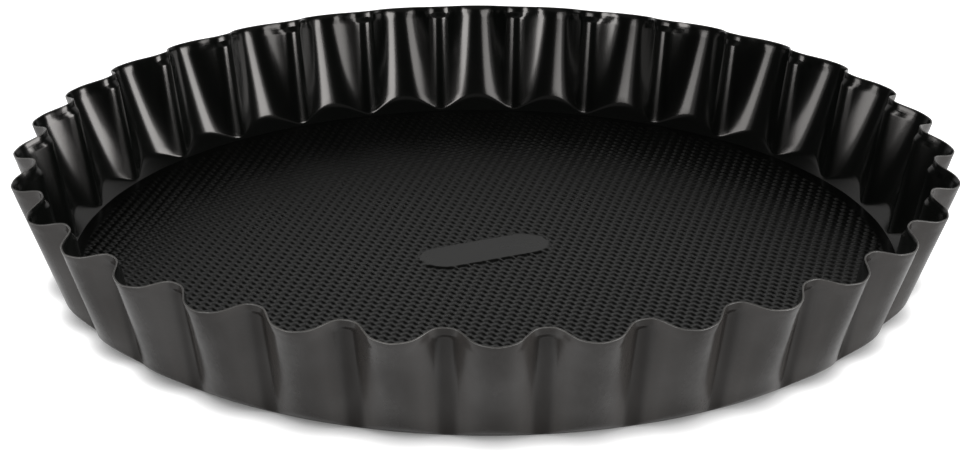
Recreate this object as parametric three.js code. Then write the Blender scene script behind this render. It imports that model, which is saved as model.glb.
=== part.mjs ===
// Loose-bottomed fluted tart tin in coated sheet steel.
// A fluted ring carries the wall and a narrow seat turned in at its foot, and a loose disc lies on that seat.
// Millimetres, +Z up. The origin is the middle of the face that the tin stands on.
import * as THREE from 'three';

// Sheet and fits
const SHEET = 0.5; // both pieces are pressed from sheet of this thickness
const SEAT_GAP = 0.3; // between the ring's seat and the border of the disc that lies on it
const EDGE_CLEARANCE = 0.7; // round the disc, so that it drops in and pushes out freely
const HOLE_CLEARANCE = 0.4; // between the dropped middle of the disc and the hole inside the seat
const FLOOR_GAP = 0.2; // the disc hangs this far above the surface that the ring stands on

// Flutes
const FLUTE_COUNT = 32;
const FLUTE_STEPS = 10; // points round one flute
const CREST_BREADTH = 0.12; // makes the outer turns broader than the inner ones; 0 is a plain wave

// Ring
const BASE_RADIUS = 125.0; // outside of the bend at the foot of the inner turns
const SEAT_WIDTH = 4.0; // flat seat turned in under the disc
const FOOT_BEND = 1.0; // length of the bends at the foot
const FOOT_FLUTE_DEPTH = 4.0; // how far the outer turns stand out at the foot
const FOOT_CREST_HEIGHT = 3.4; // the outer turns start this high, above a sloping half-moon facet
const WALL_SPREAD = 7.5; // the inner turns lean out this far from foot to rim
const RIM_FLUTE_DEPTH = 7.5; // how far the outer turns stand out at the rim
const HEIGHT = 34.9; // to the inner turns of the rim, its highest points
const RIM_CREST_DROP = 2.3; // the outer turns lean out further, so the rim lies lower there

// Lip along the rim, set out from the wall by a small step in the inner turns
const LIP_HEIGHT = 2.5;
const LIP_STEP = 0.9;
const LIP_STEP_HEIGHT = 1.8;

// Disc
const DROP_RUN = 1.0; // the slope from the border down to the middle takes this width
const DISC_SEGMENTS = 128;

// Dark non-stick coating, greyer outside on the ring than on the disc
const RING_FINISH = { color: 0x4a4744, roughness: 0.38, metalness: 0.35 };
const DISC_FINISH = { color: 0x2e2d2c, roughness: 0.42, metalness: 0.35 };

// Share of the way from the inner turn (-1) to the outer turn (1) at a phase of the flute
function fluteWave(phase) {
  return Math.cos(phase) - CREST_BREADTH * (Math.cos(2 * phase) - 1);
}

function along(from, to, distance) {
  return to.clone().sub(from).setLength(distance).add(from);
}

function atHeight(from, to, height) {
  return from.clone().lerp(to, (height - from.y) / (to.y - from.y));
}

// Sections of the ring's outer face, as radius and height, at the middle of an outer and of an inner turn.
// Both run from the edge of the seat, under the foot and up to the rim, with matching points.
function ringSections() {
  const seatEdge = new THREE.Vector2(BASE_RADIUS - SEAT_WIDTH, 0);
  const bendStart = new THREE.Vector2(BASE_RADIUS - FOOT_BEND, 0);
  const rimTrough = new THREE.Vector2(BASE_RADIUS + WALL_SPREAD, HEIGHT);
  const rimCrest = new THREE.Vector2(rimTrough.x + RIM_FLUTE_DEPTH, HEIGHT - RIM_CREST_DROP);
  const footCrest = new THREE.Vector2(BASE_RADIUS + FOOT_FLUTE_DEPTH, FOOT_CREST_HEIGHT);
  const footTrough = new THREE.Vector2(BASE_RADIUS, FOOT_BEND);
  const bendEnd = along(footCrest, rimCrest, FOOT_BEND);
  const stepDepth = LIP_HEIGHT + LIP_STEP_HEIGHT;
  const wallTrough = rimTrough.clone().setX(rimTrough.x - LIP_STEP);
  return {
    crest: [
      seatEdge,
      bendStart,
      along(footCrest, bendStart, FOOT_BEND),
      bendEnd,
      atHeight(footCrest, rimCrest, rimCrest.y - stepDepth),
      atHeight(footCrest, rimCrest, rimCrest.y - LIP_HEIGHT),
      rimCrest,
    ],
    trough: [
      seatEdge,
      bendStart,
      footTrough,
      atHeight(footTrough, wallTrough, bendEnd.y),
      atHeight(footTrough, wallTrough, rimTrough.y - stepDepth),
      atHeight(footTrough, rimTrough, rimTrough.y - LIP_HEIGHT),
      rimTrough,
    ],
  };
}

// Rings of points on the outer face, one for each point of the sections
function ringOuterFace() {
  const { crest, trough } = ringSections();
  const count = FLUTE_COUNT * FLUTE_STEPS;
  return crest.map((top, level) => Array.from({ length: count }, (_, step) => {
    const angle = (2 * Math.PI * step) / count - Math.PI / 2;
    const share = (fluteWave((2 * Math.PI * step) / FLUTE_STEPS) + 1) / 2;
    const point = trough[level].clone().lerp(top, share);
    return new THREE.Vector3(point.x * Math.cos(angle), point.x * Math.sin(angle), point.y);
  }));
}

// The inner face lies one sheet thickness behind the outer one, mitred where the sheet bends
function innerFace(outer) {
  const faceNormal = (level, step, count) => {
    const row = outer[level];
    const round = row[(step + 1) % count].clone().sub(row[(step + count - 1) % count]);
    return (from, to) => round.clone().cross(outer[to][step].clone().sub(outer[from][step])).normalize();
  };
  return outer.map((row, level) => row.map((point, step) => {
    const normal = faceNormal(level, step, row.length);
    const below = Math.max(level - 1, 0);
    const above = Math.min(level + 1, outer.length - 1);
    const before = level > 0 ? normal(below, level) : normal(level, above);
    const after = level < outer.length - 1 ? normal(level, above) : before;
    const mitre = before.clone().add(after).divideScalar(1 + before.dot(after));
    return point.clone().addScaledVector(mitre, -SHEET);
  }));
}

// Closed skin over rows of points that run round the axis, from row to row and back to the first
function skinOf(rows) {
  const count = rows[0].length;
  const index = [];
  rows.forEach((_, level) => {
    const next = (level + 1) % rows.length;
    for (let step = 0; step < count; step += 1) {
      const side = (step + 1) % count;
      const a = level * count + step;
      const b = level * count + side;
      const c = next * count + side;
      const d = next * count + step;
      index.push(a, b, c, a, c, d);
    }
  });
  const geometry = new THREE.BufferGeometry().setFromPoints(rows.flat());
  geometry.setIndex(index);
  geometry.computeVertexNormals();
  return geometry;
}

function flutedRing() {
  const outer = ringOuterFace();
  const geometry = skinOf([...outer, ...innerFace(outer).reverse()]);
  const mesh = new THREE.Mesh(geometry, new THREE.MeshStandardMaterial(RING_FINISH));
  mesh.name = 'fluted_ring';
  return mesh;
}

// The disc's border lies on the seat, and its middle is dropped through the seat's hole to stand flush below
function looseBase() {
  const borderBottom = SHEET + SEAT_GAP;
  const borderTop = borderBottom + SHEET;
  const middleBottom = FLOOR_GAP;
  const middleTop = middleBottom + SHEET;
  const edge = BASE_RADIUS - SHEET - EDGE_CLEARANCE;
  const shoulder = BASE_RADIUS - SEAT_WIDTH - HOLE_CLEARANCE;
  const foot = shoulder - DROP_RUN;
  const section = [
    [0, middleBottom],
    [foot, middleBottom],
    [shoulder, borderBottom],
    [edge, borderBottom],
    [edge, borderTop],
    [shoulder, borderTop],
    [foot, middleTop],
    [0, middleTop],
  ].map(([radius, height]) => new THREE.Vector2(radius, height));
  const geometry = new THREE.LatheGeometry(section, DISC_SEGMENTS);
  geometry.rotateX(Math.PI / 2);
  const mesh = new THREE.Mesh(geometry, new THREE.MeshStandardMaterial(DISC_FINISH));
  mesh.name = 'loose_base';
  return mesh;
}

const tartTin = new THREE.Group();
tartTin.add(flutedRing(), looseBase());

export default tartTin;
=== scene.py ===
"""Loose-bottomed fluted tart tin in dark coated steel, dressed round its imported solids.

The ring and the base are built as fine meshes in the frame of the solids and stand for them.
Sizes in the dataclasses are millimetres unless a comment says otherwise, and meshes are written in metres.
"""

import logging
import math
from dataclasses import dataclass
from enum import Enum, IntEnum
from typing import Any, Iterable, Mapping, Sequence, Union

import bpy
import numpy as np
from mathutils import Matrix, Vector


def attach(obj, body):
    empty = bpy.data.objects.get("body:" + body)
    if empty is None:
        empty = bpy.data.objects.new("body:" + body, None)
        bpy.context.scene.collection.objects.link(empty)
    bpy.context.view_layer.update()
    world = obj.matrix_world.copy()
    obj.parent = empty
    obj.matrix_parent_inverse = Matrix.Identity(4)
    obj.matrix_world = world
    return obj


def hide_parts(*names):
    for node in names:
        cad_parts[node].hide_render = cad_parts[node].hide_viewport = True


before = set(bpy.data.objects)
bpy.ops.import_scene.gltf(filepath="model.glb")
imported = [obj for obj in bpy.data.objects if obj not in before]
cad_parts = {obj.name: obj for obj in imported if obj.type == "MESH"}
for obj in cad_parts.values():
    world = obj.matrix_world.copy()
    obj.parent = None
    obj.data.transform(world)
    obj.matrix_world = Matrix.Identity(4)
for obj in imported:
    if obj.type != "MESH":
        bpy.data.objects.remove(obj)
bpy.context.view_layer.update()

MM = 0.001
IMAGE_WIDTH = 960
SENSOR_MM = 36.0
NOISE_MIDDLE = 0.5
CELL_CORNERS = ((0, 0), (1, 0), (0, 1), (1, 1))
# Numbers of the Mix node's colour sockets
MIX_FIRST = 6
MIX_SECOND = 7
MIX_RESULT = 2

Number = Union[int, float]
Colour = tuple[float, float, float]
Span = tuple[float, float]

log = logging.getLogger("tart_tin")


class Face(IntEnum):
    """Which finish a face of the ring takes; the number is its material index."""

    OUTSIDE = 0
    RIM = 1
    INSIDE = 2


class Body(Enum):
    """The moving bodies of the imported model."""

    RING = "ring"
    BASE = "base"


class Slot(Enum):
    """The record's material slots."""

    RING = "ring_coating"
    BASE = "base_coating"


class Value:
    """A shader value: an output socket that takes part in plain arithmetic."""

    def __init__(self, nodes: "Nodes", socket: bpy.types.NodeSocket) -> None:
        """Wraps one socket of a node tree."""
        self.nodes = nodes
        self.socket = socket

    def _math(self, operation: str, first: "Operand", second: "Operand") -> "Value":
        """Adds one Math node."""
        return self.nodes.add("ShaderNodeMath", {"operation": operation}, {0: first, 1: second})

    def __add__(self, other: "Operand") -> "Value":
        """Returns self + other."""
        return self._math("ADD", self, other)

    def __radd__(self, other: "Operand") -> "Value":
        """Returns other + self."""
        return self._math("ADD", other, self)

    def __sub__(self, other: "Operand") -> "Value":
        """Returns self - other."""
        return self._math("SUBTRACT", self, other)

    def __rsub__(self, other: "Operand") -> "Value":
        """Returns other - self."""
        return self._math("SUBTRACT", other, self)

    def __mul__(self, other: "Operand") -> "Value":
        """Returns self * other."""
        return self._math("MULTIPLY", self, other)

    def __rmul__(self, other: "Operand") -> "Value":
        """Returns other * self."""
        return self._math("MULTIPLY", other, self)

    def __truediv__(self, other: "Operand") -> "Value":
        """Returns self / other."""
        return self._math("DIVIDE", self, other)

    def __rtruediv__(self, other: "Operand") -> "Value":
        """Returns other / self."""
        return self._math("DIVIDE", other, self)

    def __pow__(self, other: "Operand") -> "Value":
        """Returns self to the power other."""
        return self._math("POWER", self, other)

    def __rpow__(self, other: "Operand") -> "Value":
        """Returns other to the power self."""
        return self._math("POWER", other, self)

    def larger(self, other: "Operand") -> "Value":
        """Returns the larger of self and other."""
        return self._math("MAXIMUM", self, other)

    def step(self, low: Number, high: Number) -> "Value":
        """Returns a smooth step of self from 0 at low to 1 at high."""
        return self.nodes.add(
            "ShaderNodeMapRange",
            {"interpolation_type": "SMOOTHSTEP"},
            {"Value": self, "From Min": low, "From Max": high},
        )


Operand = Union[Value, Number]
SocketInput = Union[Value, Number, Sequence[float]]


class Nodes:
    """A node tree that starts empty and is filled by add()."""

    def __init__(self, tree: bpy.types.NodeTree) -> None:
        """Empties the tree.

        Args:
            tree: the node tree of a material or a world.
        """
        self.tree = tree
        tree.nodes.clear()

    def add(
        self,
        kind: str,
        settings: Mapping[str, Any] | None = None,
        inputs: Mapping[str | int, SocketInput] | None = None,
        output: str | int = 0,
    ) -> Value:
        """Adds a node, sets it up and feeds its sockets.

        Args:
            kind: the node's type.
            settings: properties that are set before the sockets; stops are a ramp's positions and colours.
            inputs: values or links by socket name or number.
            output: the output that is handed back.

        Returns:
            The chosen output as a value, or the node's first input where it has no output.
        """
        node = self.tree.nodes.new(kind)
        for name, setting in (settings or {}).items():
            if name == "stops":
                self._set_stops(node.color_ramp, setting)
            else:
                setattr(node, name, setting)
        for name, given in (inputs or {}).items():
            socket = node.inputs[name]
            if isinstance(given, Value):
                self.tree.links.new(given.socket, socket)
            else:
                socket.default_value = given
        return Value(self, node.outputs[output] if node.outputs else node.inputs[0])

    @staticmethod
    def _set_stops(ramp: bpy.types.ColorRamp, stops: Iterable[tuple[float, Colour]]) -> None:
        """Replaces a ramp's stops.

        Args:
            ramp: the ramp of a node.
            stops: position and colour of each stop, in order.
        """
        wanted = list(stops)
        while len(ramp.elements) < len(wanted):
            ramp.elements.new(1.0)
        for element, (position, colour) in zip(ramp.elements, wanted):
            element.position = position
            element.color = rgba(colour)

    def mix_colour(self, share: Operand, first: SocketInput, second: SocketInput) -> Value:
        """Mixes two colours.

        Args:
            share: how much of the second colour shows.
            first: colour at share 0.
            second: colour at share 1.

        Returns:
            The mixed colour.
        """
        return self.add(
            "ShaderNodeMix",
            {"data_type": "RGBA"},
            {"Factor": share, MIX_FIRST: first, MIX_SECOND: second},
            output=MIX_RESULT,
        )

    def noise(self, place: Value, scale: Number, detail: Number) -> Value:
        """Returns smooth noise from 0 to 1 with scale cells to the metre."""
        return self.add(
            "ShaderNodeTexNoise", {}, {"Vector": place, "Scale": scale, "Detail": detail}, output="Fac"
        )

    def along(self, place: Value, axis: str) -> Value:
        """Returns one coordinate of a place, by the axis's letter."""
        return self.add("ShaderNodeSeparateXYZ", {}, {"Vector": place}, output=axis)

    def painted(self, attribute: str) -> Value:
        """Returns a number that the mesh carries at its points, by the attribute's name."""
        return self.add("ShaderNodeAttribute", {"attribute_name": attribute}, output="Fac")


def rgba(colour: Colour) -> tuple[float, float, float, float]:
    """Returns a colour with full alpha."""
    return (*colour, 1.0)


@dataclass(frozen=True)
class Coating:
    """A baked non-stick coat on steel sheet.

    Colours are linear. Grain is the height of the coat's orange-peel in millimetres, and scales are cells
    to the metre. A span holds the two levels of a noise between which an effect comes in.
    """

    name: str
    colour: Colour
    wear_and_painted_light: Colour
    roughness: float
    roughness_spread: float
    grain: float
    grain_scale: float
    grain_detail: float = 2.0
    cloud_scale: float = 38.0
    cloud_detail: float = 3.0
    cloud_wear: float = 0.7
    cloud_span: Span = (0.35, 0.75)
    speck_span: Span = (0.4, 0.7)
    specular: float = 0.5
    tint: Colour = (1.0, 1.0, 1.0)
    gloss: float = 0.0
    gloss_roughness: float = 0.3

    def material(self) -> bpy.types.Material:
        """Builds the finish as a node material.

        Returns:
            The material, named for the finish.
        """
        made = bpy.data.materials.new(self.name)
        made.use_nodes = True
        nodes = Nodes(made.node_tree)
        place = nodes.add("ShaderNodeTexCoord", output="Object")
        cloud = nodes.noise(place, self.cloud_scale, self.cloud_detail)
        speck = nodes.noise(place, self.grain_scale, self.grain_detail)
        bump = nodes.add(
            "ShaderNodeBump", {}, {"Strength": 1.0, "Distance": self.grain * MM, "Height": speck}
        )
        shader = nodes.add(
            "ShaderNodeBsdfPrincipled",
            {},
            {
                "Base Color": self.tone(nodes, cloud, speck),
                "Roughness": self.roughness + self.roughness_spread * (cloud - NOISE_MIDDLE),
                "Specular IOR Level": self.specular,
                "Specular Tint": rgba(self.tint),
                "Coat Weight": self.sheen(nodes, cloud, speck),
                "Coat Roughness": self.gloss_roughness,
                "Normal": bump,
            },
        )
        nodes.add("ShaderNodeOutputMaterial", {}, {"Surface": shader})
        return made

    def tone(self, nodes: Nodes, cloud: Value, speck: Value) -> Value:
        """Returns the colour over the surface, mixed from the plain colour and the second colour where the
        mask shows.
        """
        return nodes.mix_colour(self.mask(nodes, cloud, speck), rgba(self.colour), rgba(self.wear_and_painted_light))

    def sheen(self, nodes: Nodes, cloud: Value, speck: Value) -> SocketInput:
        """Returns the weight of the gloss over the coat."""
        return self.gloss

    def mask(self, nodes: Nodes, cloud: Value, speck: Value) -> Value:
        """Returns where the worn colour shows, from slow clouds and fine specks."""
        slow = self.cloud_wear * cloud.step(*self.cloud_span)
        return slow + (1 - self.cloud_wear) * speck.step(*self.speck_span)


@dataclass(frozen=True)
class FlutedCoating(Coating):
    """The satin coat outside, with painted shade in the grooves and a painted highlight on their flanks.

    Places across a flute are shares of the way from the groove (0) to the outer turn (1).
    """

    share: str = "flute_share"
    # Painted shade: the grooves take a darker colour where shade falls
    groove_shade: Colour = (0.0180, 0.0164, 0.0152)
    groove_shade_end: float = 0.07
    # Painted highlight: the flanks take a lighter colour where light falls on them
    flank_highlight: Span = (0.24, 0.55)
    break_span: Span = (0.3, 0.7)
    cloud_tone: float = 0.10
    speck_tone: float = 0.15
    # Painted shade: the gloss is weaker in the grooves
    shaded_groove_gloss: float = 0.55
    full_gloss_at: float = 0.2
    even_gloss: float = 0.60
    cloud_gloss: float = 0.45
    speck_gloss: float = 0.35

    def tone(self, nodes: Nodes, cloud: Value, speck: Value) -> Value:
        """Works out the colour from the painted shade in the groove over the painted highlight on the flank
        to the outer turn, with fine grain.

        Args:
            nodes: the material's nodes.
            cloud: slow noise.
            speck: fine noise.

        Returns:
            The colour over the surface.
        """
        # Painted shade in the groove and painted highlight on the flank, by the share across the flute
        stops = (
            (0.0, self.groove_shade),
            (self.groove_shade_end, self.groove_shade),
            (self.flank_highlight[0], self.wear_and_painted_light),
            (self.flank_highlight[1], self.wear_and_painted_light),
            (1.0, self.colour),
        )
        across = nodes.painted(self.share)
        bands = nodes.add("ShaderNodeValToRGB", {"stops": stops}, {"Fac": across}, output="Color")
        clouded = self.cloud_tone * cloud.step(*self.break_span)
        grain = clouded + self.speck_tone * speck.step(*self.break_span)
        return nodes.mix_colour(grain, bands, rgba(self.colour))

    def sheen(self, nodes: Nodes, cloud: Value, speck: Value) -> SocketInput:
        """Works out the weight of the gloss: low in the grooves as painted shade, and broken by clouds and
        specks.

        Args:
            nodes: the material's nodes.
            cloud: slow noise.
            speck: fine noise.

        Returns:
            The weight over the surface.
        """
        # Weaker gloss in the grooves: painted shade
        out_of_groove = nodes.painted(self.share).step(0.0, self.full_gloss_at)
        level = self.shaded_groove_gloss + (1 - self.shaded_groove_gloss) * out_of_groove
        clouded = self.even_gloss + self.cloud_gloss * cloud.step(*self.break_span)
        return self.gloss * level * (clouded + self.speck_gloss * speck)


@dataclass(frozen=True)
class EmbossedCoating(Coating):
    """The coat on the base's pressed pattern, with painted shade: the hollows are darker than the ridges.
    """

    relief: str = "relief"
    # Painted shade: the ridges take the lighter colour and the hollows stay darker
    ridge_span: Span = (0.3, 0.9)
    even_ridge_light: float = 0.6

    def mask(self, nodes: Nodes, cloud: Value, speck: Value) -> Value:
        """Returns where the lighter colour shows: on the ridges, broken up by the clouds, so that the
        hollows keep a painted shade.
        """
        ridge = nodes.painted(self.relief).step(*self.ridge_span)
        return ridge * (self.even_ridge_light + (1 - self.even_ridge_light) * cloud)


OUTSIDE_COAT = FlutedCoating(
    name="satin_coat_outside",
    colour=(0.0135, 0.0118, 0.0106),
    # Lighter flank colour: painted highlight
    wear_and_painted_light=(0.0345, 0.0316, 0.0295),
    roughness=0.26,
    roughness_spread=0.06,
    grain=0.012,
    grain_scale=900.0,
    specular=0.0,
    gloss=0.60,
    gloss_roughness=0.24,
)
INSIDE_COAT = Coating(
    name="gloss_coat_inside",
    colour=(0.0014, 0.0018, 0.0015),
    wear_and_painted_light=(0.0024, 0.0028, 0.0024),
    roughness=0.18,
    roughness_spread=0.04,
    grain=0.004,
    grain_scale=700.0,
    tint=(1.0, 0.965, 0.94),
)
RIM_COAT = Coating(
    name="cut_rim",
    colour=(0.060, 0.058, 0.055),
    wear_and_painted_light=(0.130, 0.125, 0.118),
    roughness=0.36,
    roughness_spread=0.10,
    grain=0.010,
    grain_scale=900.0,
)
BASE_COAT = EmbossedCoating(
    name="embossed_coat_base",
    colour=(0.0022, 0.0024, 0.0021),
    # Lighter ridge colour, so that the hollows keep a painted shade
    wear_and_painted_light=(0.0050, 0.0050, 0.0045),
    roughness=0.28,
    roughness_spread=0.06,
    grain=0.004,
    grain_scale=900.0,
    specular=0.46,
    tint=(1.0, 0.995, 0.95),
)


def smooth(share: np.ndarray) -> np.ndarray:
    """Returns a smooth step of a share that is cut to 0 to 1."""
    kept = np.clip(share, 0.0, 1.0)
    return kept * kept * (3 - 2 * kept)


def round_axis(radius: np.ndarray | float, height: np.ndarray | float, angle: np.ndarray) -> np.ndarray:
    """Returns points at the given radius, height and angle round the axis."""
    return np.stack(np.broadcast_arrays(radius * np.cos(angle), radius * np.sin(angle), height), axis=-1)


def rounded(corners: Sequence[Vector], trims: Sequence[float], steps: int) -> list[Vector]:
    """Rounds the inner corners of a section.

    Args:
        corners: radius and height of each corner, the first and last being ends.
        trims: length of the bend on each side of every inner corner.
        steps: pieces that each bend is cut into.

    Returns:
        The section's points, the same number for the same number of corners.
    """
    points = [corners[0]]
    for index, trim in enumerate(trims, start=1):
        corner = corners[index]
        start = corner + (corners[index - 1] - corner).normalized() * trim
        end = corner + (corners[index + 1] - corner).normalized() * trim
        for step in range(steps + 1):
            share = step / steps
            points.append(start.lerp(corner, share).lerp(corner.lerp(end, share), share))
    points.append(corners[-1])
    return points


def at_height(low: Vector, high: Vector, height: float) -> Vector:
    """Returns the point at a height on the straight line through two points of a section."""
    return low.lerp(high, (height - low.y) / (high.y - low.y))


def new_object(
    name: str,
    vertices: np.ndarray,
    faces: Sequence[Sequence[int]],
    materials: Sequence[bpy.types.Material],
    indices: Sequence[int] | None = None,
) -> bpy.types.Object:
    """Makes a smooth mesh object.

    Args:
        name: the piece's name.
        vertices: points in millimetres.
        faces: corner numbers of each face.
        materials: finishes in the order of their numbers.
        indices: each face's finish; the first finish where it is left out.

    Returns:
        The object, linked to the scene.
    """
    mesh = bpy.data.meshes.new(name)
    mesh.from_pydata((vertices * MM).tolist(), [], faces)
    for material in materials:
        mesh.materials.append(material)
    mesh.polygons.foreach_set("use_smooth", [True] * len(mesh.polygons))
    if indices is not None:
        mesh.polygons.foreach_set("material_index", list(indices))
    mesh.validate()
    mesh.update()
    made = bpy.data.objects.new(name, mesh)
    bpy.context.scene.collection.objects.link(made)
    return made


def paint(piece: bpy.types.Object, attribute: str, numbers: np.ndarray) -> None:
    """Gives every point of a piece its number, under the attribute's name."""
    layer = piece.data.attributes.new(attribute, "FLOAT", "POINT")
    layer.data.foreach_set("value", numbers.astype(np.float32))


@dataclass
class FlutedRing:
    """The scalloped wall with its lip, half-moon facets and seat, one pressing of sheet.

    Shares of a flute run from the middle of its inner turn (0) to the middle of its outer turn (1).
    """

    sheet: float = 0.5
    flute_count: int = 32
    flute_steps: int = 24  # columns of points to a flute
    bend_steps: int = 5  # pieces that a bend is cut into
    wall_steps: int = 12  # pieces that the wall is cut into
    crest_breadth: float = 0.12  # makes the outer turns broader than the inner ones
    base_radius: float = 125.0  # outside of the wall at the foot of the inner turns
    seat_width: float = 4.0
    foot_bend: float = 1.0
    seat_round: float = 0.6  # bends, each a length on both sides of its corner
    foot_round: float = 0.65
    crease_round: float = 1.6
    foot_flute_depth: float = 4.0
    foot_crest_height: float = 3.4  # the outer turns start here, above the half-moon facets
    wall_spread: float = 7.5  # the inner turns lean out this far from foot to rim
    rim_flute_depth: float = 7.5
    height: float = 34.9  # to the rim's highest points, at the inner turns
    rim_crest_drop: float = 2.3
    lip_height: float = 1.9
    lip_step: float = 0.8
    lip_step_height: float = 1.5
    lip_round: float = 0.5
    lip_square: float = 0.024  # squares the turns a little along the lip, as a share of a flute
    step_level: float = 0.08  # share of a flute up to which the lip's step is whole
    step_reach: float = 0.30  # share of a flute at which the step has run out
    foot_pinch: float = 0.6  # narrows the inner turns towards the foot
    pinch_height: float = 22.0  # above it the inner turns keep their width
    rim_round: float = 0.42  # height of the rounded cut edge, in thicknesses of the sheet
    rim_shoulder: float = 0.15  # where the rounding turns over, in thicknesses from either face
    shoulder_rise: float = 0.7  # height there, as a share of the edge's

    def crest_section(self) -> np.ndarray:
        """Works out the outer face at the middle of an outer turn.

        Returns:
            Radius and height of points from seat to rim.
        """
        rim_radius = self.base_radius + self.wall_spread + self.rim_flute_depth
        rim = Vector((rim_radius, self.height - self.rim_crest_drop))
        foot = Vector((self.base_radius + self.foot_flute_depth, self.foot_crest_height))
        return self.bent([
            Vector((self.base_radius - self.seat_width, 0.0)),
            Vector((self.base_radius - self.foot_bend, 0.0)),
            foot,
            at_height(foot, rim, rim.y - self.lip_height - self.lip_step_height),
            at_height(foot, rim, rim.y - self.lip_height),
            rim,
        ], self.crease_round)

    def trough_section(self, step: float) -> np.ndarray:
        """Works out the outer face at the middle of an inner turn.

        Args:
            step: how far the lip is set out from the wall below it.

        Returns:
            Radius and height of points that match those of the outer turn.
        """
        rim = Vector((self.base_radius + self.wall_spread, self.height))
        foot = Vector((self.base_radius, self.foot_bend))
        wall = rim - Vector((step, 0.0))
        return self.bent([
            Vector((self.base_radius - self.seat_width, 0.0)),
            Vector((self.base_radius - self.foot_bend, 0.0)),
            foot,
            at_height(foot, wall, rim.y - self.lip_height - self.lip_step_height),
            at_height(foot, rim, rim.y - self.lip_height),
            rim,
        ], self.foot_round)

    def bent(self, corners: Sequence[Vector], foot_round: float) -> np.ndarray:
        """Rounds the bends of a section and cuts its wall into steps.

        Args:
            corners: radius and height of the corners, from seat to rim.
            foot_round: length of the bend on each side of the foot.

        Returns:
            Radius and height of the points of the section.
        """
        trims = (self.seat_round, foot_round, self.lip_round, self.lip_round)
        points = np.array([tuple(point) for point in rounded(corners, trims, self.bend_steps)])
        foot = 2 * (self.bend_steps + 1)  # where the second bend ends and the wall begins
        wall = np.linspace(points[foot], points[foot + 1], self.wall_steps + 1)[1:-1]
        return np.concatenate([points[: foot + 1], wall, points[foot + 1 :]])

    def phases(self) -> np.ndarray:
        """Returns the phase of every column within its flute, 0 in the middle of an outer turn."""
        return np.arange(self.flute_count * self.flute_steps) * (2 * math.pi / self.flute_steps)

    def shares(self) -> np.ndarray:
        """Returns the share of its flute at which each column stands."""
        phase = self.phases()
        return (np.cos(phase) - self.crest_breadth * (np.cos(2 * phase) - 1) + 1) / 2

    def turned(self, height: np.ndarray) -> np.ndarray:
        """Works out how far the wall has turned out, with its pinched foot and squared lip.

        Args:
            height: heights of the section's points at an inner turn.

        Returns:
            Shares of the way from the inner to the outer section, as rows and columns.
        """
        share, phase = self.shares(), self.phases()
        below = np.clip(1 - height / self.pinch_height, 0.0, 1.0)
        pinch = self.foot_pinch * below[:, None] ** 2
        step_foot = self.height - self.lip_height - self.lip_step_height
        lift = np.clip((height - step_foot) / self.lip_step_height, 0.0, 1.0)
        square = self.lip_square * (np.cos(4 * phase) - np.cos(3 * phase))
        return share * (1 + pinch * (1 - share) ** 3) + lift[:, None] * square

    def outer_rows(self) -> np.ndarray:
        """Spreads the sections round the axis.

        Returns:
            Rows of points from the seat's edge to the rim, as an array of rows, columns and coordinates.
        """
        share = self.shares()
        crest, straight = self.crest_section(), self.trough_section(0.0)
        step = self.trough_section(self.lip_step) - straight
        hold = smooth((self.step_reach - share) / (self.step_reach - self.step_level))
        turned = self.turned(straight[:, 1])[..., None]
        section = (
            straight[:, None, :] * (1 - turned)
            + crest[:, None, :] * turned
            + step[:, None, :] * hold[None, :, None]
        )
        angle = np.arange(len(share)) * (2 * math.pi / len(share)) - math.pi / 2
        return round_axis(section[..., 0], section[..., 1], angle)

    @staticmethod
    def normals(rows: np.ndarray) -> np.ndarray:
        """Works out which way the outer face looks.

        Args:
            rows: the points of the outer face.

        Returns:
            The outward unit normal at every point.
        """
        sideways = np.roll(rows, -1, axis=1) - np.roll(rows, 1, axis=1)
        steps = np.diff(rows, axis=0)
        steps /= np.linalg.norm(steps, axis=-1, keepdims=True)
        up = np.concatenate([steps[:1], steps[:-1] + steps[1:], steps[-1:]])
        normal = np.cross(sideways, up)
        return normal / np.linalg.norm(normal, axis=-1, keepdims=True)

    def rim_rows(self, outer: np.ndarray, inner: np.ndarray) -> list[np.ndarray]:
        """Rounds the cut edge between the two faces of the sheet.

        Args:
            outer: rows of the outer face.
            inner: rows of the inner face.

        Returns:
            Three rows over the edge, from outside to inside.
        """
        wall = outer[-1] - outer[-2]
        wall /= np.linalg.norm(wall, axis=-1, keepdims=True)
        top = self.rim_round * self.sheet * wall
        side = self.rim_shoulder
        return [
            outer[-1] * (1 - side) + inner[-1] * side + self.shoulder_rise * top,
            (outer[-1] + inner[-1]) / 2 + top,
            inner[-1] * (1 - side) + outer[-1] * side + self.shoulder_rise * top,
        ]

    def build(self) -> bpy.types.Object:
        """Makes the ring as one closed skin with its three finishes.

        Returns:
            The ring's object, with the share of the flute as an attribute of its points.
        """
        outer = self.outer_rows()
        inner = outer - self.sheet * self.normals(outer)
        rim = self.rim_rows(outer, inner)
        rows = [*outer, *rim, *inner[::-1]]
        bands = (
            [Face.OUTSIDE] * (len(outer) - 1) + [Face.RIM] * (len(rim) + 1) + [Face.INSIDE] * len(inner)
        )
        count = outer.shape[1]
        faces: list[tuple[int, int, int, int]] = []
        finishes: list[int] = []
        for row, finish in enumerate(bands):
            here, above = row * count, (row + 1) % len(rows) * count
            for column in range(count):
                side = (column + 1) % count
                faces.append((here + column, here + side, above + side, above + column))
                finishes.append(int(finish))
        materials = [OUTSIDE_COAT.material(), RIM_COAT.material(), INSIDE_COAT.material()]
        shell = new_object("ring_shell", np.concatenate(rows), faces, materials, finishes)
        paint(shell, OUTSIDE_COAT.share, np.tile(self.shares(), len(rows)))
        return shell

    def dress(self, shell: bpy.types.Object) -> None:
        """Puts the ring in its place in the frame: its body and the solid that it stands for.

        Args:
            shell: the ring's object.
        """
        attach(shell, Body.RING.value)
        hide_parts("fluted_ring")


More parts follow.
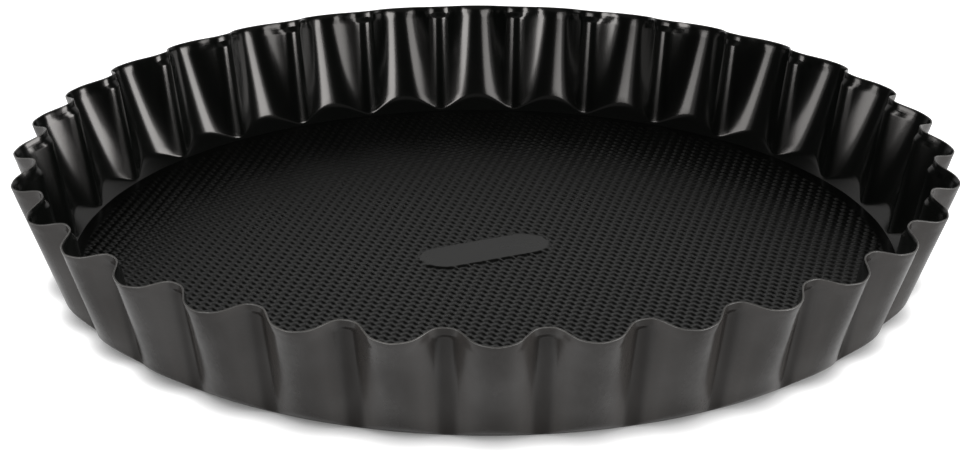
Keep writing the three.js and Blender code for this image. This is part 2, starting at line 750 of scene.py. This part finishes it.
@dataclass
class LooseBase:
    """The disc on the seat: a plain border, and a gently dished middle with a pressed lattice."""

    sheet: float = 0.5
    edge_radius: float = 123.8
    shoulder_radius: float = 120.5  # inner end of the border
    shoulder_run: float = 0.25  # from the shoulder in to the lattice; the underside drops over as much
    border_bottom: float = 0.55
    border_fall: float = 0.25  # the border's top slopes down this far to the edge
    hole_radius: float = 120.6  # the middle hangs within this radius, inside the seat
    middle_bottom: float = 0.2
    dish_radius: float = 100.0  # from here outwards the top rises to the border
    edge_round: float = 0.1
    round_run: float = 2.0  # the edge's rounding starts this many times its height inwards
    round_turn: Span = (0.6, 0.2)  # where it turns over, inwards and down, in the same measure
    pitch: float = 2.94  # from stud to stud
    lattice_turn: float = -13.1  # degrees
    divisions: int = 8  # mesh steps to a cell of the lattice
    stud: float = 0.112  # heights of the waves that make up the pattern
    slant: float = 0.125
    counter: float = 0.034
    skew: float = 0.045
    fade: float = 0.4  # the pattern runs out over this width
    cell_margin: float = 0.1  # mesh cells nearer the edge than this, in pitches, are left out
    plate_length: float = 41.0
    plate_width: float = 15.0
    plate_turn: float = 24.0  # degrees
    plate_edge: float = 0.9  # width of the slope round the plate
    plate_top: float = 0.36

    @property
    def lattice_radius(self) -> float:
        """Returns the radius at which the lattice ends."""
        return self.shoulder_radius - self.shoulder_run

    def lines(self) -> np.ndarray:
        """Returns the places of the mesh lines along one direction, in cells of the lattice."""
        half = (math.ceil(self.lattice_radius / self.pitch) + 1) * self.divisions
        return np.arange(-half, half + 1) / self.divisions

    def pressed(self, u: np.ndarray, v: np.ndarray) -> np.ndarray:
        """Works out the pressed pattern of rounded studs that lean aslant.

        Args:
            u: places along the first direction, in cells.
            v: places along the second direction, in cells.

        Returns:
            The height there in millimetres, over and under the sheet's middle level.
        """
        first, second = 2 * math.pi * u, 2 * math.pi * v
        return (
            self.stud * (np.cos(first) + np.cos(second))
            + self.slant * np.cos(first + second)
            - self.counter * np.cos(first - second)
            + self.skew * np.cos(first + 2 * second)
        )

    def plate_distance(self, x: np.ndarray, y: np.ndarray) -> np.ndarray:
        """Works out how far places lie from the plate with round ends.

        Args:
            x: places to the right.
            y: places to the back.

        Returns:
            The distance outside the plate's outline, negative inside it.
        """
        turn = math.radians(self.plate_turn)
        along = x * math.cos(turn) + y * math.sin(turn)
        across = y * math.cos(turn) - x * math.sin(turn)
        end = (self.plate_length - self.plate_width) / 2
        beyond = np.maximum(np.abs(along) - end, 0.0)
        return np.hypot(beyond, across) - self.plate_width / 2

    def relief(self, x: np.ndarray, y: np.ndarray, pressed: np.ndarray) -> np.ndarray:
        """Works out the height over the disc's plain top.

        Args:
            x: places to the right.
            y: places to the back.
            pressed: the lattice's height at the places.

        Returns:
            The lattice with its faded edge, and the plate in its middle.
        """
        inwards = self.lattice_radius - np.hypot(x, y)
        faded = pressed * np.clip(inwards / self.fade, 0.0, 1.0)
        off_plate = smooth(self.plate_distance(x, y) / self.plate_edge)
        return self.plate_top * (1 - off_plate) + faded * off_plate

    def plain_top(self, x: np.ndarray, y: np.ndarray) -> np.ndarray:
        """Works out the disc's top without its pattern, from the middle out to the border.

        Args:
            x: places to the right.
            y: places to the back.

        Returns:
            The height there.
        """
        outwards = (np.hypot(x, y) - self.dish_radius) / (self.lattice_radius - self.dish_radius)
        dish = (self.border_bottom - self.middle_bottom) * smooth(outwards)
        return self.middle_bottom + self.sheet + dish

    def field(self) -> tuple[np.ndarray, list[tuple[int, ...]], np.ndarray, np.ndarray]:
        """Makes the embossed middle, cut to a circle.

        Returns:
            Points, faces, the relief at every point, and the numbers of the points on the circle in order.
        """
        cells_along = self.lines()
        count = len(cells_along)
        turn = math.radians(self.lattice_turn)
        u, v = np.meshgrid(cells_along, cells_along, indexing="ij")
        x = self.pitch * (u * math.cos(turn) - v * math.sin(turn))
        y = self.pitch * (u * math.sin(turn) + v * math.cos(turn))
        middle_x = (x[:-1, :-1] + x[1:, 1:]) / 2
        middle_y = (y[:-1, :-1] + y[1:, 1:]) / 2
        kept = np.hypot(middle_x, middle_y) < self.lattice_radius - self.cell_margin * self.pitch
        cells_round = np.zeros((count, count), dtype=int)
        for i, j in CELL_CORNERS:
            cells_round[i : count - 1 + i, j : count - 1 + j] += kept
        inside = cells_round > 0
        number = np.full((count, count), -1)
        number[inside] = np.arange(int(inside.sum()))
        faces = [
            (int(number[i, j]), int(number[i + 1, j]), int(number[i + 1, j + 1]), int(number[i, j + 1]))
            for i, j in np.argwhere(kept)
        ]
        on_edge = (cells_round < len(CELL_CORNERS))[inside]
        reach = np.hypot(x[inside], y[inside])
        stretch = np.divide(self.lattice_radius, reach, out=np.ones_like(reach), where=on_edge)
        x, y = x[inside] * stretch, y[inside] * stretch
        height = self.relief(x, y, self.pressed(u, v)[inside])
        loop = np.flatnonzero(on_edge)
        loop = loop[np.argsort(np.arctan2(y[loop], x[loop]))]
        height[loop] = 0.0
        return np.stack([x, y, self.plain_top(x, y) + height], axis=-1), faces, height, loop

    def border(self) -> list[tuple[float, float]]:
        """Lists the rings outside the lattice, over the border and back under the middle.

        Returns:
            Radius and height of each ring.
        """
        low, high = self.middle_bottom, self.border_bottom
        top, cut = high + self.sheet, self.edge_round
        edge_top = top - self.border_fall
        turn_in, turn_down = self.round_turn
        return [
            (self.shoulder_radius, top),
            (self.edge_radius - self.round_run * cut, edge_top),
            (self.edge_radius - turn_in * cut, edge_top - turn_down * cut),
            (self.edge_radius, edge_top - cut),
            (self.edge_radius, high + cut),
            (self.edge_radius - cut, high),
            (min(self.shoulder_radius, self.hole_radius), high),
            (self.hole_radius - self.shoulder_run, low),
        ]

    def build(self) -> bpy.types.Object:
        """Makes the disc as one closed skin.

        Returns:
            The disc's object, with its relief from 0 to 1 as an attribute of its points.
        """
        points, faces, height, loop = self.field()
        angle = np.arctan2(points[loop, 1], points[loop, 0])
        parts = [points]
        rows = [loop]
        total = len(points)
        for radius, level in self.border():
            parts.append(round_axis(radius, level, angle))
            rows.append(np.arange(total, total + len(loop)))
            total += len(loop)
        parts.append(np.array([[0.0, 0.0, self.middle_bottom]]))
        for inner, outer in zip(rows, rows[1:]):
            for k in range(len(loop)):
                n = (k + 1) % len(loop)
                faces.append((int(inner[k]), int(outer[k]), int(outer[n]), int(inner[n])))
        last = rows[-1]
        for k in range(len(loop)):
            faces.append((int(last[k]), total, int(last[(k + 1) % len(loop)])))
        disc = new_object("base_disc", np.concatenate(parts), faces, [BASE_COAT.material()])
        shares = np.zeros(total + 1)
        shares[: len(height)] = (height - height.min()) / (height.max() - height.min())
        shares[loop] = 0.0
        paint(disc, BASE_COAT.relief, shares)
        return disc

    def dress(self, disc: bpy.types.Object) -> None:
        """Puts the disc in its place in the frame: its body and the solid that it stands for.

        Args:
            disc: the disc's object.
        """
        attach(disc, Body.BASE.value)
        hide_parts("loose_base")


@dataclass
class PhotoCamera:
    """The camera at the photograph's place: radians, millimetres, and the focal length in pixels."""

    distance: float = 894.26
    elevation: float = 0.39674
    target_height: float = 1.46
    pitch: float = 0.38944
    yaw: float = -0.00176
    roll: float = 0.00458
    turn: float = 0.02266
    focal: float = 2966.6
    far_end: float = 50000.0

    def build(self) -> None:
        """Makes the camera and sets it as the scene's own."""
        data = bpy.data.cameras.new("photo_camera")
        data.sensor_fit = "HORIZONTAL"
        data.sensor_width = SENSOR_MM
        data.lens = self.focal * SENSOR_MM / IMAGE_WIDTH
        data.clip_end = self.far_end * MM
        made = bpy.data.objects.new("photo_camera", data)
        bpy.context.scene.collection.objects.link(made)
        place = Vector((
            0.0,
            -self.distance * math.cos(self.elevation),
            self.distance * math.sin(self.elevation) + self.target_height,
        ))
        ahead = Vector((
            math.sin(self.yaw) * math.cos(self.pitch),
            math.cos(self.yaw) * math.cos(self.pitch),
            -math.sin(self.pitch),
        ))
        level = Vector((math.cos(self.yaw), -math.sin(self.yaw), 0.0))
        upright = level.cross(ahead)
        right = math.cos(self.roll) * level + math.sin(self.roll) * upright
        up = math.cos(self.roll) * upright - math.sin(self.roll) * level
        stand = Matrix((
            (right.x, up.x, -ahead.x, place.x * MM),
            (right.y, up.y, -ahead.y, place.y * MM),
            (right.z, up.z, -ahead.z, place.z * MM),
            (0.0, 0.0, 0.0, 1.0),
        ))
        made.matrix_world = Matrix.Rotation(-self.turn, 4, "Z") @ stand
        bpy.context.scene.camera = made


@dataclass(frozen=True)
class Softbox:
    """A soft lamp that stands round the tin.

    Angles are degrees, and azimuth runs from the camera's side to the right. Lengths are metres.
    Level 1 is white.
    """

    name: str
    azimuth: float
    elevation: float
    distance: float
    width: float
    height: float
    level: float

    def build(self) -> None:
        """Makes the lamp, facing the tin and unseen by the camera."""
        data = bpy.data.lights.new(self.name, "AREA")
        data.shape = "RECTANGLE"
        data.size = self.width
        data.size_y = self.height
        data.energy = self.level * math.pi * self.width * self.height
        made = bpy.data.objects.new(self.name, data)
        bpy.context.scene.collection.objects.link(made)
        turn, rise = math.radians(self.azimuth), math.radians(self.elevation)
        away = Vector((math.sin(turn) * math.cos(rise), -math.cos(turn) * math.cos(rise), math.sin(rise)))
        made.location = away * self.distance
        made.rotation_mode = "QUATERNION"
        made.rotation_quaternion = away.to_track_quat("Z", "Y")
        made.visible_camera = False


@dataclass
class Studio:
    """Pale floor, soft lamps and the plain surroundings.

    Lengths are metres. A span holds the two values of a direction's coordinate between which a light
    comes in or goes out.
    """

    floor_size: float = 12.0
    floor_colour: float = 0.82
    floor_glow: float = 1.0
    front_contact: float = 0.009  # width of the shadow under the tin, in front of it
    side_contact: float = 0.0052  # the same at its sides and behind it
    front_span: Span = (0.60, 0.95)  # 1 is straight from the tin's middle to the camera's side
    contact_power: float = 1.6  # deepens the shadow
    sky_samples: int = 8
    front_fill: float = 0.25  # level of the fill from front and back
    side_fill: float = 1.1  # what is added to it from straight right and left
    dark_level: float = 0.030
    sweep_level: float = 0.395
    sweep_front: Span = (0.25, 0.70)
    sweep_top: Span = (0.52, 0.75)
    ceiling_level: float = 0.14
    ceiling_foot: Span = (0.40, 0.55)
    ceiling_top: Span = (0.75, 0.90)
    ceiling_back: Span = (-0.50, -0.30)
    lamps: tuple[Softbox, ...] = (
        Softbox(
            "softbox_right",
            azimuth=61.0, elevation=12.0, distance=1.30,
            width=0.62, height=0.56, level=8.5,
        ),
        Softbox(
            "softbox_left",
            azimuth=-40.0, elevation=12.0, distance=1.30,
            width=0.62, height=0.56, level=4.7,
        ),
        Softbox(
            "spill_right",
            azimuth=59.0, elevation=14.0, distance=1.40,
            width=1.05, height=0.62, level=1.0,
        ),
        Softbox(
            "spill_left",
            azimuth=-45.0, elevation=14.0, distance=1.40,
            width=1.05, height=0.62, level=0.6,
        ),
    )

    @staticmethod
    def seen(nodes: Nodes) -> tuple[Value, Value]:
        """Tells the rays apart.

        Args:
            nodes: the nodes of a material or a world.

        Returns:
            1 for rays from the camera, and 1 for mirrored or see-through rays.
        """
        camera = nodes.add("ShaderNodeLightPath", output="Is Camera Ray")
        gloss = nodes.add("ShaderNodeLightPath", output="Is Glossy Ray")
        through = nodes.add("ShaderNodeLightPath", output="Is Transmission Ray")
        return camera, gloss.larger(through)

    def open_sky(self, nodes: Nodes, reach: float) -> Value:
        """Returns how open the floor lies, from 0 to 1, counting what stands within reach."""
        settings = {"samples": self.sky_samples}
        return nodes.add("ShaderNodeAmbientOcclusion", settings, {"Distance": reach}, output="AO")

    def shadow(self, nodes: Nodes) -> Value:
        """Works out the shadow under the tin, wider in front of it than at its sides.

        Args:
            nodes: the floor's nodes.

        Returns:
            The floor's colour, from black to white.
        """
        place = nodes.add("ShaderNodeTexCoord", output="Object")
        x, y = nodes.along(place, "X"), nodes.along(place, "Y")
        front = (0 - y) / (x * x + y * y) ** 0.5
        near = self.open_sky(nodes, self.side_contact)
        wide = self.open_sky(nodes, self.front_contact)
        sky = near + front.step(*self.front_span) * (wide - near)
        return nodes.mix_colour(sky**self.contact_power, rgba((0.0, 0.0, 0.0)), rgba((1.0, 1.0, 1.0)))

    def build_floor(self) -> None:
        """Makes the floor: it takes the tin's shadow, and shows white to the camera and to gloss."""
        half = self.floor_size / 2 / MM
        corners = np.array([[-half, -half, 0.0], [half, -half, 0.0], [half, half, 0.0], [-half, half, 0.0]])
        made = bpy.data.materials.new("pale_floor")
        made.use_nodes = True
        nodes = Nodes(made.node_tree)
        camera, mirrored = self.seen(nodes)
        strength = self.floor_glow * camera.larger(mirrored)
        white = nodes.add("ShaderNodeBsdfDiffuse", {}, {"Color": rgba((self.floor_colour,) * 3)})
        glow = nodes.add("ShaderNodeEmission", {}, {"Color": self.shadow(nodes), "Strength": strength})
        both = nodes.add("ShaderNodeAddShader", {}, {0: white, 1: glow})
        nodes.add("ShaderNodeOutputMaterial", {}, {"Surface": both})
        floor = new_object("floor", corners, [(0, 1, 2, 3)], [made])

    def build_world(self) -> None:
        """Makes the surroundings.

        They are white to the camera and a soft fill to matt surfaces. Gloss mirrors a light sweep behind
        the tin, a dim ceiling over the camera's side, and dark elsewhere.
        """
        world = bpy.data.worlds.new("studio")
        bpy.context.scene.world = world
        world.use_nodes = True
        nodes = Nodes(world.node_tree)
        camera, mirrored = self.seen(nodes)
        toward = nodes.add("ShaderNodeTexCoord", output="Generated")
        along_x, along_y = nodes.along(toward, "X"), nodes.along(toward, "Y")
        upward = nodes.along(toward, "Z")
        behind = along_y.step(*self.sweep_front) * (1 - upward.step(*self.sweep_top))
        overhead = upward.step(*self.ceiling_foot) * (1 - upward.step(*self.ceiling_top))
        ceiling = overhead * (1 - along_y.step(*self.ceiling_back))
        gloss = self.dark_level + self.sweep_level * behind + self.ceiling_level * ceiling
        soft = self.front_fill + self.side_fill * along_x * along_x
        fill = soft * (1 - mirrored) + gloss * mirrored
        level = camera + fill * (1 - camera)
        shade = nodes.add("ShaderNodeBackground", {}, {"Color": rgba((1.0, 1.0, 1.0)), "Strength": level})
        nodes.add("ShaderNodeOutputWorld", {}, {"Surface": shade})

    def build(self) -> None:
        """Makes floor, surroundings and lamps, and sets the plain view transform."""
        self.build_floor()
        self.build_world()
        for lamp in self.lamps:
            lamp.build()
        bpy.context.scene.view_settings.view_transform = "Standard"


def main() -> None:
    """Builds the camera, the studio and the tin's two pieces."""
    logging.basicConfig(level=logging.INFO, format="%(name)s: %(message)s")
    PhotoCamera().build()
    Studio().build()
    for assembly in (FlutedRing(), LooseBase()):
        piece = assembly.build()
        assembly.dress(piece)


if __name__ == "__main__":
    main()
